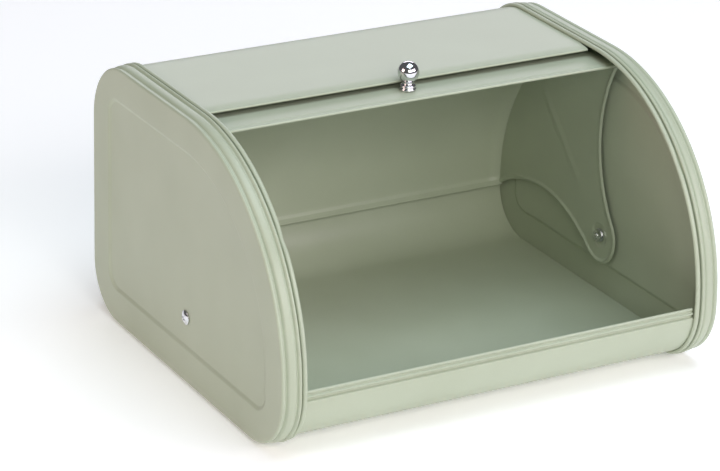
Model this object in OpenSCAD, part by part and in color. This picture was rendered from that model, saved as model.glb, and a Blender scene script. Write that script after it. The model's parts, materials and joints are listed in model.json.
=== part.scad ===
// Roll-top bread box: a wrapped sheet-steel body closed by two pressed end caps, with a
// curved lid that swings back inside the box on two side arms. Millimetres, +Z up, the
// mouth towards -Y. The origin is on the table, under the middle of the box.

/* [Box] */
// Width over the two end caps
box_w = 305; // [280:1:340]
// Depth of the end caps, front to back
box_d = 260; // [252:1:280]
// Height of the end caps, from the table
box_h = 175; // [174:1:180]
// Radius of the big front curve
front_r = 130; // [128:0.5:132]
// Radius of the upper back corner
back_top_r = 43; // [30:1:46]
// Radius of the lower back corner
back_bottom_r = 35; // [28:1:40]
// Radius of the lower front corner
front_bottom_r = 41; // [36:0.5:41.5]
// Thickness of the sheet steel
sheet = 0.8; // [0.7:0.05:0.9]

/* [End caps] */
// Distance from the cap's outer face to the inner edge of its beaded rim
rim_w = 13.6; // [13:0.1:15]
// Depth of the hollows between the beads of the rim
rim_hollow = 1.4; // [0.8:0.1:1.6]
// Width of the flat border round the pressed panel
panel_border = 22; // [18:0.5:26]
// Depth of the pressed panel
panel_depth = 1.3; // [0.8:0.1:1.4]
// Width of the soft slope round the pressed panel
panel_slope = 3.5; // [2.5:0.25:5]
// Radius of the pressed panel's corners
panel_corner_r = 13; // [10:0.5:16]

/* [Body] */
// How far the body sheet lies inside the outline of the caps
body_inset = 2.8; // [2.6:0.1:3.2]
// Height of the bead that runs round the body beside each cap
edge_bead_h = 1.5; // [0.8:0.1:1.7]
// Width of that bead
edge_bead_w = 2.8; // [2.5:0.1:3.2]
// Place of the roof's front edge behind the centre of the front curve
roof_edge_y = 5; // [4.8:0.1:6]
// Length of the roof's bent-down front strip
roof_bevel = 9; // [7:0.5:12]
// Height of the front rail's upper edge above the table
rail_top = 44.5; // [43:0.25:44.5]
// Radius of each air hole in the back
vent_r = 1.75; // [1.5:0.25:2]

/* [Lid] */
// Outer radius of the lid, about its pivot
lid_r = 123.4; // [122.4:0.1:123.6]
// Place of the pivot ahead of the centre of the front curve
pivot_ahead = 1.5; // [1:0.1:2]
// Place of the pivot below the centre of the front curve
pivot_below = 1.2; // [0.5:0.1:1.5]
// Angle from the back up to the lid's front lip, when open
lid_lip = 96; // [95.5:0.1:97]
// Angle from the back down to the lid's rear edge, when open
lid_rear = 4; // [3:0.1:5]
// Clear gap between the inner face of a cap's panel and the arm's plate
arm_gap = 1.6; // [1.5:0.05:1.7]
// Radius of the arm's round end
ear_r = 19; // [18:0.5:20]
// Radius of the arm's hollow front edge
front_edge_r = 96; // [90:1:98]
// Length of the straight between the round end and the arch of the lower edge
arm_straight = 8; // [7:0.5:11]
// Radius of that arch
arch_r = 90; // [86:1:94]

/* [Knob] */
// Diameter of the ball
ball_d = 12.7; // [11:0.1:15]
// Height of the ball's centre above the lid
ball_rise = 12.2; // [11.5:0.1:14]
// Radius of the knob's foot
knob_foot_r = 5.2; // [4.8:0.1:5.3]
// Place of the knob behind the pivot
knob_back = 0.5; // [-1:0.1:0.5]

/* [Hidden] */
$fn = 96;
paint = "#b9bfae";
chrome = "#d8dade";
zinc = "#b8babd";
nylon = "#eeece4";
rubber = "#3b3d3a";

// Centre of the big front curve
arc_y = front_r - box_d / 2;
arc_z = box_h - front_r;
// The rims clear the table by this much, and the feet take the load
rim_lift = 0.3;
cap_x = box_w / 2;
// An outline: front radius, back, bottom, upper back, lower back and lower front radii
cap_outline = [front_r, box_d / 2, rim_lift, back_top_r, back_bottom_r, front_bottom_r];
panel_outline = [front_r - panel_border + 0.5, box_d / 2 - panel_border - 1, panel_border + 1,
    panel_corner_r, panel_corner_r, panel_corner_r];

// Pivot and the stack of parts on it, as distances from the middle of the box
pivot_y = arc_y - pivot_ahead;
pivot_z = arc_z - pivot_below;
panel_out = cap_x - panel_depth;
panel_in = panel_out - sheet;
arm_x = panel_in - arm_gap - sheet;
play = 0.15;
bush_flange = 0.6;
dish_x = panel_in - bush_flange - play;
washer_x = dish_x - sheet - play;
washer_t = 0.5;
nut_x = washer_x - washer_t;
nut_h = 2.4;
thread_r = 1.95;
hole_play = 0.15;
thread_play = 0.05;
bush_r = 3;
bush_flange_r = 5.5;
lid_in = lid_r - sheet;
lid_gap = 1.2;
lid_half = panel_in - lid_gap;
knob_y = pivot_y + knob_back;
knob_z = pivot_z + lid_r;

// ---- side outline --------------------------------------------------------------------

// The outline that runs d inside outline o
function inset(o, d) = [o[0] - d, o[1] - d, o[2] + d, o[3] - d, o[4] - d, o[5] - d];
function crown(o) = arc_z + o[0];
function prow(o) = arc_y - o[0];
// Arcs of an outline: [centre y, centre z, radius, first angle, last angle]
function front_arc(o) = [arc_y, arc_z, o[0], 90, 180];
function toe_arc(o) = [prow(o) + o[5], o[2] + o[5], o[5], 180, 270];
function heel_arc(o) = [o[1] - o[4], o[2] + o[4], o[4], 270, 360];
function shoulder_arc(o) = [o[1] - o[3], crown(o) - o[3], o[3], 0, 90];
// Straights of an outline: [last y, last z, outward direction, length]
function front_run(o) = [prow(o), o[2] + o[5], 180, arc_z - o[2] - o[5]];
function bottom_run(o) = [o[1] - o[4], o[2], 270, o[1] - o[4] - prow(o) - o[5]];
function back_run(o) = [o[1], crown(o) - o[3], 0, crown(o) - o[3] - o[2] - o[4]];
function top_run(o) = [arc_y, crown(o), 90, o[1] - o[3] - arc_y];

// Stands side-view geometry up: its x points to the back, its y up and its z to the right
module side_view() rotate([90, 0, 90]) children();

// Carries a profile round an arc. The profile's x is the depth below the outline
module along_arc(a)
    translate([a[0], a[1], 0]) rotate([0, 0, a[3]])
        rotate_extrude(angle = a[4] - a[3]) translate([a[2], 0]) mirror([1, 0]) children();

module along_run(r)
    translate([r[0], r[1], 0]) rotate([0, 0, r[2]]) rotate([90, 0, 0])
        linear_extrude(r[3]) mirror([1, 0]) children();

module all_round(o) {
    for (a = [front_arc(o), toe_arc(o), heel_arc(o), shoulder_arc(o)]) along_arc(a) children();
    for (r = [front_run(o), bottom_run(o), back_run(o), top_run(o)]) along_run(r) children();
}

// Flat plate with an outline: a straight-sided core and a pie slice at each round
module plate(o, t) {
    linear_extrude(t)
        polygon([[arc_y, arc_z], [prow(o), arc_z], [prow(o), o[2] + o[5]],
            [prow(o) + o[5], o[2] + o[5]], [prow(o) + o[5], o[2]], [o[1] - o[4], o[2]],
            [o[1] - o[4], o[2] + o[4]], [o[1], o[2] + o[4]], [o[1], crown(o) - o[3]],
            [o[1] - o[3], crown(o) - o[3]], [o[1] - o[3], crown(o)], [arc_y, crown(o)]]);
    for (a = [front_arc(o), toe_arc(o), heel_arc(o), shoulder_arc(o)])
        translate([a[0], a[1], 0]) rotate([0, 0, a[3]])
            rotate_extrude(angle = a[4] - a[3]) square([a[2], t]);
}

// ---- end caps --------------------------------------------------------------------------

edge_round = 1.3;
edge_in = 2.2;
// Crests and hollows of the rim: [distance from the outer face, depth below the outline]
rim_waves = [[edge_round, 0], [3.7, rim_hollow], [6.2, 0], [9, 0],
    [rim_w - 2.1, rim_hollow * 0.75], [rim_w - 0.8, rim_hollow * 0.35]];
wave_steps = 6;

// Points of a smooth wave through the crests and hollows, sunk by d
function wave(w, d) = [for (i = [0:len(w) - 2]) for (k = [0:wave_steps - 1])
    let (t = k / wave_steps, s = (1 - cos(180 * t)) / 2)
        [w[i][1] + (w[i + 1][1] - w[i][1]) * s + d, w[i][0] + (w[i + 1][0] - w[i][0]) * t]];
// Quarter round from the outer face into the rim, for a surface sunk by d
function edge_curve(d) = [for (a = [0:15:75])
    [edge_in - (edge_in - d) * sin(a), d + (edge_round - d) * (1 - cos(a))]];
function reversed(p) = [for (i = [len(p) - 1:-1:0]) p[i]];

// Section of the pressed rim: rounded edge, two beads, a ridge and the flange that grips the body
module rim_profile()
    polygon(concat(edge_curve(0), wave(rim_waves, 0),
        [[rim_hollow * 0.35, rim_w - 0.7], [rim_hollow * 0.35 + 0.15, rim_w - 0.25],
            [rim_hollow * 0.35 + 0.6, rim_w], [body_inset, rim_w], [body_inset, rim_w - sheet]],
        reversed([for (p = wave(rim_waves, sheet)) if (p[1] < rim_w - sheet - 0.2) p]),
        reversed(edge_curve(sheet))));

module panel_slope_profile()
    polygon([[0, 0], [panel_slope, panel_depth], [panel_slope, panel_depth + sheet], [0, sheet]]);

module cap() {
    color(paint) difference() {
        translate([-cap_x, 0, 0]) side_view() {
            difference() {
                plate(inset(cap_outline, edge_in), sheet);
                translate([0, 0, -1]) plate(panel_outline, sheet + 2);
            }
            all_round(cap_outline) rim_profile();
            all_round(panel_outline) panel_slope_profile();
            translate([0, 0, panel_depth]) plate(inset(panel_outline, panel_slope), sheet);
        }
        on_pivot(-cap_x - 1) cylinder(r = thread_r + hole_play, h = 6);
    }
}

// ---- body ------------------------------------------------------------------------------

body_end = 1;
bead_from = rim_w + 1.1;
strip_to = bead_from + edge_bead_w + 0.2;
mouth_half = cap_x - strip_to;
body_outline = inset(cap_outline, body_inset);
bead_steps = 10;
// Half-round bead, standing out of a sheet whose depth is d: points from one foot to the other
function edge_bead(d) = [for (k = [0:bead_steps])
    [body_inset + d - edge_bead_h * sin(180 * k / bead_steps), bead_from + edge_bead_w * k / bead_steps]];

// Section of the strip beside the mouth: the part under the cap's rim, and the bead
module strip_profile()
    polygon(concat([[body_inset + sheet, body_end], [body_inset, body_end]], edge_bead(0),
        [[body_inset, strip_to], [body_inset + sheet, strip_to]], reversed(edge_bead(sheet))));

module both_strips() {
    strip_profile();
    translate([0, box_w]) mirror([0, 1]) strip_profile();
}

// Section of the whole width of the sheet, with its two beads
module sheet_profile() {
    both_strips();
    translate([body_inset, strip_to]) square([sheet, 2 * mouth_half]);
}

// The rail's steps begin on the rounded lower front corner, at this height and place
rail_steps_h = 7.5;
rail_foot = rail_top - rail_steps_h;
rail_rise = rim_lift + front_bottom_r - rail_foot;
rail_y = arc_y - front_r + front_bottom_r - sqrt(pow(front_bottom_r - body_inset, 2) - pow(rail_rise, 2));
roof_z = box_h - body_inset;
roof_bend_y = arc_y + roof_edge_y + roof_bevel;
roof_drop = 1;
hem = 2 * sheet;
hem_w = 4.5;

// Front strip of the roof, bent down a little and hemmed, in the side view
module roof_front_profile() {
    tip_y = arc_y + roof_edge_y + hem / 2;
    tip_z = roof_z - roof_drop - hem / 2;
    polygon([[roof_bend_y, roof_z], [tip_y, tip_z + hem / 2], [tip_y, tip_z - hem / 2],
        [tip_y + hem_w, tip_z - hem / 2 + 0.6], [tip_y + hem_w, tip_z + 0.6], [roof_bend_y, roof_z - sheet]]);
    translate([tip_y, tip_z]) circle(hem / 2);
}

// Upper edge of the rail: a step, a hollow and a hemmed crest, in the side view.
// Each point is [depth behind the rail's face, height below the rail's top]
rail_face = [[0, rail_steps_h], [0.15, 6.9], [0.75, 6.3], [0.85, 5.6], [0.7, 4.9], [0.1, 4.2], [0, 3.7],
    [0.2, 3.2], [0.65, 2.8], [0.7, 2.3], [0.7, 0.9], [0.85, 0.4], [1.2, 0.1], [1.5, 0]];
rail_back = [[1.8, 0.1], [2.15, 0.4], [2.3, 0.9], [2.3, 6], [1.6, 6], [1, 6.9], [sheet, rail_steps_h], [0.5, 8.6]];
module rail_profile()
    polygon([for (p = concat(rail_face, rail_back)) [rail_y + p[0], rail_top - p[1]]]);

// Front of the body below the mouth: the rounded corner, cut off where the rail's steps begin
module front_corner(o) difference() {
    along_arc(toe_arc(o)) sheet_profile();
    translate([prow(o), rail_foot, strip_to]) cube([o[5], o[5], 2 * mouth_half]);
}

// The roof's front strip reaches under the side strips, and the rail stops short of them
roof_lap = 1.2;
rail_gap = 2;

module body_shell() {
    o = cap_outline;
    roof = top_run(o);
    color(paint) difference() {
        union() {
            translate([-cap_x, 0, 0]) side_view() {
                front_corner(o);
                along_run(bottom_run(o)) sheet_profile();
                along_arc(heel_arc(o)) sheet_profile();
                along_run(back_run(o)) sheet_profile();
                along_arc(shoulder_arc(o)) sheet_profile();
                along_run([roof_bend_y, roof[1], 90, roof[0] + roof[3] - roof_bend_y]) sheet_profile();
                along_run([arc_y, roof[1], 90, roof_bend_y - arc_y]) both_strips();
                along_arc(front_arc(o)) both_strips();
                along_run(front_run(o)) both_strips();
            }
            translate([-mouth_half - roof_lap, 0, 0]) side_view()
                linear_extrude(2 * (mouth_half + roof_lap)) roof_front_profile();
            translate([-mouth_half + rail_gap, 0, 0]) side_view()
                linear_extrude(2 * (mouth_half - rail_gap)) rail_profile();
        }
        vents();
    }
}

vent_ring_r = 8;
vent_x = box_w * 0.22;
vent_z = box_h * 0.66;
// Two round groups of air holes, high in the back
module vents()
    for (side = [-1, 1]) translate([side * vent_x, box_d / 2 + 1, vent_z]) {
        rotate([90, 0, 0]) cylinder(r = vent_r, h = 8);
        for (a = [0:60:300]) rotate([0, a, 0]) translate([vent_ring_r, 0, 0])
            rotate([90, 0, 0]) cylinder(r = vent_r, h = 8);
    }

// ---- lid -------------------------------------------------------------------------------

// Puts children on the pivot's axis, with their z along the width, x to the back and y up
module on_pivot(x) translate([x, pivot_y, pivot_z]) side_view() children();

// Part of a ring about the pivot, between two angles and two radii
module ring_part(a0, a1, r0, r1, w)
    rotate([0, 0, a0]) rotate_extrude(angle = a1 - a0) translate([r0, 0]) square([r1 - r0, w]);

// The folds' inner ends, in degrees from the lid's edges, and the round of their outer ends
lip_hem = 2.2;
lip_bead_d = hem + 0.3;
// Curved sheet, folded back on itself along the lip and the rear edge
module lid_sheet() {
    color(paint) difference() {
        on_pivot(-lid_half) {
            difference() {
                ring_part(-lid_rear, lid_lip, lid_r - hem, lid_r, 2 * lid_half);
                translate([0, 0, -1])
                    ring_part(lip_hem - lid_rear, lid_lip - lip_hem, lid_r - hem - 1, lid_in, 2 * lid_half + 2);
            }
            for (a = [lid_lip, -lid_rear]) rotate([0, 0, a])
                translate([lid_r - hem / 2, 0, 0]) cylinder(d = lip_bead_d, h = 2 * lid_half);
        }
        translate([0, knob_y, pivot_z + lid_r - 5]) cylinder(r = thread_r + hole_play, h = 10);
    }
}

// ---- lid arms --------------------------------------------------------------------------

// The arm's outline, from the pivot: the hollow front edge is an arc that touches the round
// end in one direction; a short straight and the arch leave it in another
front_dir = [-0.8, 0.6];
arch_dir = [0.6, -0.8];
arch_along = [0.8, 0.6];
front_c = (ear_r + front_edge_r) * front_dir;
straight_at = ear_r * arch_dir;
arch_c = straight_at + arm_straight * arch_along + arch_r * arch_dir;

arm_bead_w = 2.8;
arm_bead_h = 1;
arm_edge = arm_bead_w + 1;

// Flat of the arm, which ends under the flat inner part of its rolled edge
module arm_flat() {
    e = arm_bead_w + 0.7;
    straight_end = straight_at + arm_straight * arch_along;
    difference() {
        intersection() {
            cylinder(r = lid_in, h = sheet);
            translate([0, 0, -1]) linear_extrude(sheet + 2)
                polygon([[0, 0], ear_r * front_dir, 1.5 * lid_r * [cos(lid_lip), sin(lid_lip)],
                    [lid_r * 1.2, lid_r * 1.2], [lid_r * 1.2, 0], arch_c + (arch_r + e) * [0, 1],
                    straight_end - e * arch_dir, straight_at - e * arch_dir]);
        }
        translate([front_c[0], front_c[1], -1]) cylinder(r = front_edge_r + e, h = sheet + 2);
        translate([arch_c[0], arch_c[1], -1]) cylinder(r = arch_r + e, h = sheet + 2);
    }
    cylinder(r = ear_r - arm_bead_w - 0.3, h = sheet);
}

// Rolled edge of the arm, its x counted in from the free edge
function arm_edge_line(d) = [for (k = [0:8])
    [arm_bead_w * k / 8, d - arm_bead_h * sin(180 * k / 8)]];
module arm_edge_profile()
    polygon(concat(arm_edge_line(0), [[arm_edge, 0], [arm_edge, sheet]],
        reversed(arm_edge_line(sheet))));

// Rolled edge round the three arcs and the straight. It runs past the lid, which trims it
module arm_rolled_edge() {
    a_front = atan2(front_dir[1], front_dir[0]);
    a_arch = atan2(arch_dir[1], arch_dir[0]);
    translate([front_c[0], front_c[1], 0]) rotate([0, 0, a_front + 180])
        rotate_extrude(angle = 75) translate([front_edge_r, 0]) arm_edge_profile();
    rotate([0, 0, a_front])
        rotate_extrude(angle = 360 + a_arch - a_front) translate([ear_r, 0]) mirror([1, 0])
            arm_edge_profile();
    translate([straight_at[0], straight_at[1], 0]) rotate([0, 0, a_arch]) rotate([-90, 0, 0])
        linear_extrude(arm_straight) mirror([1, 0]) mirror([0, 1]) arm_edge_profile();
    translate([arch_c[0], arch_c[1], 0]) rotate([0, 0, a_arch + 180]) mirror([0, 1, 0])
        rotate_extrude(angle = 80) translate([arch_r, 0]) arm_edge_profile();
}

flange_inset = 3.2;
dish_floor_r = 6.3;
dish_top_r = 8.8;
rib_angle = 46;
rib_from = 38;
rib_len = 66;
rib_r = 1.1;
rib_sunk = 0.6;
// Dish that brings the arm's plate out to the bush on the pivot
module pivot_dish() {
    depth = dish_x - sheet - arm_x;
    rotate_extrude() polygon([[dish_floor_r, depth], [dish_top_r, 0], [dish_top_r, sheet],
        [dish_floor_r, depth + sheet], [bush_r + thread_play, depth + sheet], [bush_r + thread_play, depth]]);
}

// The right arm. Its plate is pressed flat, with a rib, a dished pivot and a turned flange
module arm() {
    color(paint) on_pivot(arm_x) {
        intersection() {
            union() {
                difference() {
                    arm_flat();
                    translate([0, 0, -1]) cylinder(r = dish_top_r, h = sheet + 2);
                }
                arm_rolled_edge();
            }
            translate([0, 0, -5]) cylinder(r = lid_in, h = 10);
        }
        pivot_dish();
        ring_part(flange_inset - lid_rear, lid_lip - flange_inset, lid_in - sheet, lid_in, lid_half - arm_x);
        rotate([0, 0, rib_angle]) translate([rib_from, 0, rib_sunk]) {
            rotate([0, 90, 0]) cylinder(r = rib_r, h = rib_len, $fn = 24);
            for (x = [0, rib_len]) translate([x, 0, 0]) sphere(r = rib_r, $fn = 24);
        }
    }
}

// ---- pivot hardware --------------------------------------------------------------------

head_r = 4.6;
head_h = 2;
head_rim = 0.6;
// Cross recess: length, width and depth of its bars
recess = [4.4, 1, 1.2];
recess_turn = 20;
// Low round head with a cross recess; its seat is at z = 0 and its shank runs to -z
module cross_screw(shank) difference() {
    rotate_extrude() polygon(concat(
        [for (k = [0:8]) [head_r * k / 8, head_rim + (head_h - head_rim) * (1 - k * k / 64)]],
        [[head_r, 0], [thread_r, 0], [thread_r, 0.6 - shank], [thread_r - 0.6, -shank], [0, -shank]]));
    for (a = [0, 90]) rotate([0, 0, a + recess_turn])
        translate([-recess[0] / 2, -recess[1] / 2, head_h - recess[2]]) cube([recess[0], recess[1], head_h]);
}

nut_flats = 7;
nut_corner_r = 4.1;
module hex_nut(h, bore) difference() {
    intersection() {
        cylinder(r = nut_flats / sqrt(3), h = h, $fn = 6);
        rotate_extrude() polygon([[0, 0], [nut_flats / 2, 0], [nut_corner_r, 0.35],
            [nut_corner_r, h - 0.35], [nut_flats / 2, h], [0, h]]);
    }
    translate([0, 0, -1]) cylinder(r = bore, h = h + 2);
}

module washer(r, bore, t) difference() {
    cylinder(r = r, h = t);
    translate([0, 0, -1]) cylinder(r = bore, h = t + 2);
}

thread_end = 0.5;
module pivot_screw() color(chrome) on_pivot(panel_out)
    cross_screw(panel_out - nut_x + nut_h + thread_end);

// Stepped nylon bush: its flange spaces the arm from the cap, its sleeve is the arm's bearing
module pivot_bush() color(nylon) on_pivot(washer_x) difference() {
    union() {
        cylinder(r = bush_r, h = panel_in - washer_x);
        translate([0, 0, panel_in - bush_flange - washer_x]) cylinder(r = bush_flange_r, h = bush_flange);
    }
    translate([0, 0, -1]) cylinder(r = thread_r + thread_play, h = 8);
}

washer_r = 4.5;
module pivot_washer() color(zinc) on_pivot(nut_x) washer(washer_r, thread_r + hole_play, washer_t);
module pivot_nut() color(chrome) on_pivot(nut_x - nut_h) hex_nut(nut_h, thread_r + thread_play);

// ---- knob ------------------------------------------------------------------------------

// Turned ball knob: round-edged foot saddled to the lid, waisted neck and ball
module knob() {
    ball_r = ball_d / 2;
    neck_r = 3.1;
    waist = ball_rise - ball_r;
    color(chrome) translate([0, knob_y, knob_z]) difference() {
        union() {
            rotate_extrude() polygon(concat([[0, -1]], [for (a = [-90:22.5:90])
                [knob_foot_r - 1.2 + 1.2 * cos(a), 1.3 + 1.2 * sin(a) - (a == -90 ? 1.1 : 0)]],
                [[neck_r + 0.5, 2.8], [neck_r + 0.1, 3.3], [neck_r, 4], [neck_r + 0.1, 4.8],
                [neck_r + 0.6, waist], [neck_r + 1.1, waist + 0.6], [neck_r + 1.1, waist + 1.8],
                [0, waist + 1.8]]));
            translate([0, 0, ball_rise]) sphere(d = ball_d);
        }
        translate([0, 0, -2]) cylinder(r = thread_r + thread_play, h = knob_shank + 2);
        translate([-10, pivot_y - knob_y, -lid_r]) rotate([0, 90, 0]) cylinder(r = lid_r, h = 20);
    }
}

knob_shank = 7.5;
knob_washer_top = sqrt(pow(lid_in, 2) - pow(washer_r, 2)) - lid_r;
module knob_washer() color(zinc) translate([0, knob_y, knob_z + knob_washer_top - washer_t])
    washer(washer_r, thread_r + hole_play, washer_t);
module knob_screw() color(zinc) translate([0, knob_y, knob_z + knob_washer_top - washer_t])
    rotate([180, 0, 0]) cross_screw(knob_shank);

// ---- feet ------------------------------------------------------------------------------

foot_x = box_w * 0.4;
foot_r = 7;
// Rubber foot under the floor, slightly tapered
module foot(side, y) color(rubber)
    translate([side * foot_x, y, 0]) cylinder(r1 = foot_r - 0.8, r2 = foot_r, h = rim_lift + body_inset);
foot_front_y = arc_y - front_r + front_bottom_r + 14;
foot_back_y = box_d / 2 - back_bottom_r - 10;

body_shell();
cap();  // end_cap_left
mirror([1, 0, 0]) cap();  // end_cap_right
lid_sheet();
mirror([1, 0, 0]) arm();  // lid_arm_left
arm();  // lid_arm_right
mirror([1, 0, 0]) pivot_screw();  // pivot_screw_left
pivot_screw();  // pivot_screw_right
mirror([1, 0, 0]) pivot_bush();  // pivot_bush_left
pivot_bush();  // pivot_bush_right
mirror([1, 0, 0]) pivot_washer();  // pivot_washer_left
pivot_washer();  // pivot_washer_right
mirror([1, 0, 0]) pivot_nut();  // pivot_nut_left
pivot_nut();  // pivot_nut_right
knob();
knob_screw();
knob_washer();
foot(-1, foot_front_y);  // foot_front_left
foot(1, foot_front_y);  // foot_front_right
foot(-1, foot_back_y);  // foot_back_left
foot(1, foot_back_y);  // foot_back_right
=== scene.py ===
import json
import math
import bmesh
import bpy
import numpy as np
from mathutils import Matrix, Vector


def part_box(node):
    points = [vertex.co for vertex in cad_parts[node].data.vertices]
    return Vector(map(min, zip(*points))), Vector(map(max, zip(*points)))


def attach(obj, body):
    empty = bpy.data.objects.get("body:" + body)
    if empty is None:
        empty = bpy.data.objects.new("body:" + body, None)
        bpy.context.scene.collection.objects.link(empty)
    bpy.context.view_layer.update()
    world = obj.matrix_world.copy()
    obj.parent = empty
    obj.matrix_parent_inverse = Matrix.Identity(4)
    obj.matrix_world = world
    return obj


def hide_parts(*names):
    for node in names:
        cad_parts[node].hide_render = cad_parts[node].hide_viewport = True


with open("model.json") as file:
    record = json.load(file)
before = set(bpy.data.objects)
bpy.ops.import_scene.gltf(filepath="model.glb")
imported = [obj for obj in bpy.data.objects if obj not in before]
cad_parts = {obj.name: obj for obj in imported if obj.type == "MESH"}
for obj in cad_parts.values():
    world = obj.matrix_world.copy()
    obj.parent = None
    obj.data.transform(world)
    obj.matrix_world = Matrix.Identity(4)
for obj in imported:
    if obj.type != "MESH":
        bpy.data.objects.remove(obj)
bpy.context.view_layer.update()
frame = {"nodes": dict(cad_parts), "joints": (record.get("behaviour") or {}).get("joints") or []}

# Shapes are worked out in millimetres and put into the meshes in metres.
# x runs to the right, y to the back and z up; a side view is a plane of y and z.
mm = 0.001
joint = frame["joints"][0]
pivot = np.array(joint["pos_m"][1:]) / mm
capLow, capHigh = (np.array(corner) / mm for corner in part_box("end_cap_left"))
capX = -capLow[0]  # outer face of the end caps
boxTop = capHigh[2]
boxBack = capHigh[1]


# Faces of a grid whose points are numbered row by row: each joins a point to the next
# point of its row and to the same two points one row on
def gridFaces(rows, cols, closeRows=False, closeCols=False, first=0):
    r = np.arange(rows if closeRows else rows - 1)[:, None]
    c = np.arange(cols if closeCols else cols - 1)[None, :]
    nextR, nextC = (r + 1) % rows, (c + 1) % cols
    corners = [r * cols + c, r * cols + nextC, nextR * cols + nextC, nextR * cols + c]
    return first + np.stack(np.broadcast_arrays(*corners), -1).reshape(-1, 4)


# One mesh from several grids: each grid is (points, closeRows, closeCols) or
# (points, faces). Points that fall together are merged, so neighbouring grids join up.
# A closed piece's faces are turned outwards; an open one's are turned over where flip says so
def makePiece(name, grids, material, closed=True, flip=False):
    points, faces, first = [], [], 0
    for grid, *how in grids:
        flat = grid.reshape(-1, 3)
        if isinstance(how[0], np.ndarray):
            faces.append(how[0] + first)
        else:
            faces.append(gridFaces(grid.shape[0], grid.shape[1], how[0], how[1], first))
        points.append(flat)
        first += len(flat)
    mesh = bpy.data.meshes.new(name)
    mesh.from_pydata((np.concatenate(points) * mm).tolist(), [], np.concatenate(faces).tolist())
    work = bmesh.new()
    work.from_mesh(mesh)
    bmesh.ops.remove_doubles(work, verts=work.verts, dist=2e-6)
    bmesh.ops.dissolve_degenerate(work, dist=1e-6, edges=work.edges)
    if closed:
        bmesh.ops.recalc_face_normals(work, faces=work.faces)
    elif flip:
        bmesh.ops.reverse_faces(work, faces=work.faces)
    work.to_mesh(mesh)
    work.free()
    mesh.polygons.foreach_set("use_smooth", np.ones(len(mesh.polygons), bool))
    piece = bpy.data.objects.new(name, mesh)
    bpy.context.scene.collection.objects.link(piece)
    mesh.materials.append(material)
    return piece


# Seats a finished piece on the body that it rides on, and hides the nodes that it stands for; the slot
# for its finish is not used
def seat(piece, body, slot, *nodes):
    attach(piece, body)
    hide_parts(*nodes)
    return piece


edgeAngle = 62  # in degrees; edges sharper than this are rounded


# Sheet thickness as a modifier that grows against the normals, and a small round on its edges
def giveThickness(piece, thickness, edge):
    wall = piece.modifiers.new("wall", "SOLIDIFY")
    wall.thickness = thickness * mm
    wall.offset = -1
    wall.use_quality_normals = True
    soften = piece.modifiers.new("edge", "BEVEL")
    soften.width = edge * mm
    soften.segments = 2
    soften.limit_method = "ANGLE"
    soften.angle_limit = math.radians(edgeAngle)
    soften.harden_normals = True


# The other skin of a sheet: every point moved by the thickness against the surface's
# normal, which is the cross product of the grid's two directions
def otherSkin(grid, thickness):
    along = np.gradient(grid, axis=0)
    around = (np.roll(grid, -1, 1) - np.roll(grid, 1, 1)) / 2
    normal = np.cross(along, around)
    normal /= np.linalg.norm(normal, axis=2, keepdims=True)
    return grid + thickness * normal


# Half circle that closes a sheet's edge: from the end of one skin to the end of the other,
# bulging away from the sheet by half the thickness
def roundedEdge(skin, other, before):
    middle, half = (skin + other) / 2, (skin - other) / 2
    out = skin - before
    out *= np.linalg.norm(half, axis=1, keepdims=True) / np.linalg.norm(out, axis=1, keepdims=True)
    turn = np.radians(np.arange(30, 180, 30))[:, None, None]
    return middle + half * np.cos(turn) + out * np.sin(turn)


# Closed wall from one skin: the skin, a round edge, the other skin backwards, a round edge
def closedWall(grid, thickness):
    other = otherSkin(grid, thickness)
    farEdge = roundedEdge(grid[-1], other[-1], grid[-2])
    nearEdge = roundedEdge(other[0], grid[0], other[1])
    return np.concatenate([grid, farEdge, other[::-1], nearEdge])


# Smooth line through control points: a cubic on each stretch, whose slope at a point is
# half the way between that point's neighbours
def smoothLine(controls, steps):
    p = np.array(controls, float)
    p = np.concatenate([[2 * p[0] - p[1]], p, [2 * p[-1] - p[-2]]])
    t = np.arange(steps)[None, :, None] / steps
    a, b, c, d = (p[i:len(p) - 3 + i][:, None, :] for i in range(4))
    line = 0.5 * (2 * b + (c - a) * t + (2 * a - 5 * b + 4 * c - d) * t ** 2
                  + (3 * b - 3 * c + d - a) * t ** 3)
    return np.concatenate([line.reshape(-1, 2), p[-2:-1]])


# Blend that eases from 0 to 1 between two values: three times the square of the share of
# the way less twice its cube
def ease(value, low, high):
    t = np.clip((value - low) / (high - low), 0, 1)
    return t * t * (3 - 2 * t)


# Profile turned about an upright axis: each point (r, z) goes to r times the cosine and
# the sine of every angle of a full turn, at height z
def latheGrid(profile, steps, centre):
    a = np.linspace(0, 2 * math.pi, steps, endpoint=False)[None, :]
    r, z = profile[:, 0:1], profile[:, 1:2]
    return np.stack([centre[0] + r * np.cos(a), centre[1] + r * np.sin(a),
                     centre[2] + z * np.ones_like(a)], -1)


# Radii of the end cap's outline, its height over the floor, and the panel's place inside it
shape = {
    "front": 130,
    "toe": 41,
    "heel": 35,
    "shoulder": 43,
    "lift": capLow[2],
    "frontBorder": 21.5,
    "flatBorder": 23,
    "panelCorner": 13,
}
arcY = shape["front"] - boxBack
arcZ = boxTop - shape["front"]


# Points of an arc and their outward directions: the centre plus the radius times the direction
def arcPart(centre, radius, first, last, stops):
    a = np.radians(first + (last - first) * stops)
    out = np.stack([np.cos(a), np.sin(a)], 1)
    return np.array(centre) + radius * out, out


# Points of a straight, which runs a quarter turn on from its outward direction
def runPart(start, outward, length, stops):
    a = math.radians(outward)
    out = np.array([math.cos(a), math.sin(a)])
    ahead = np.array([-math.sin(a), math.cos(a)])
    return np.array(start) + np.outer(stops * length, ahead), np.tile(out, (len(stops), 1))


# Stops of a part as shares of its length, without its end, where the next part starts
def evenStops(steps):
    return np.arange(steps) / steps


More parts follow.
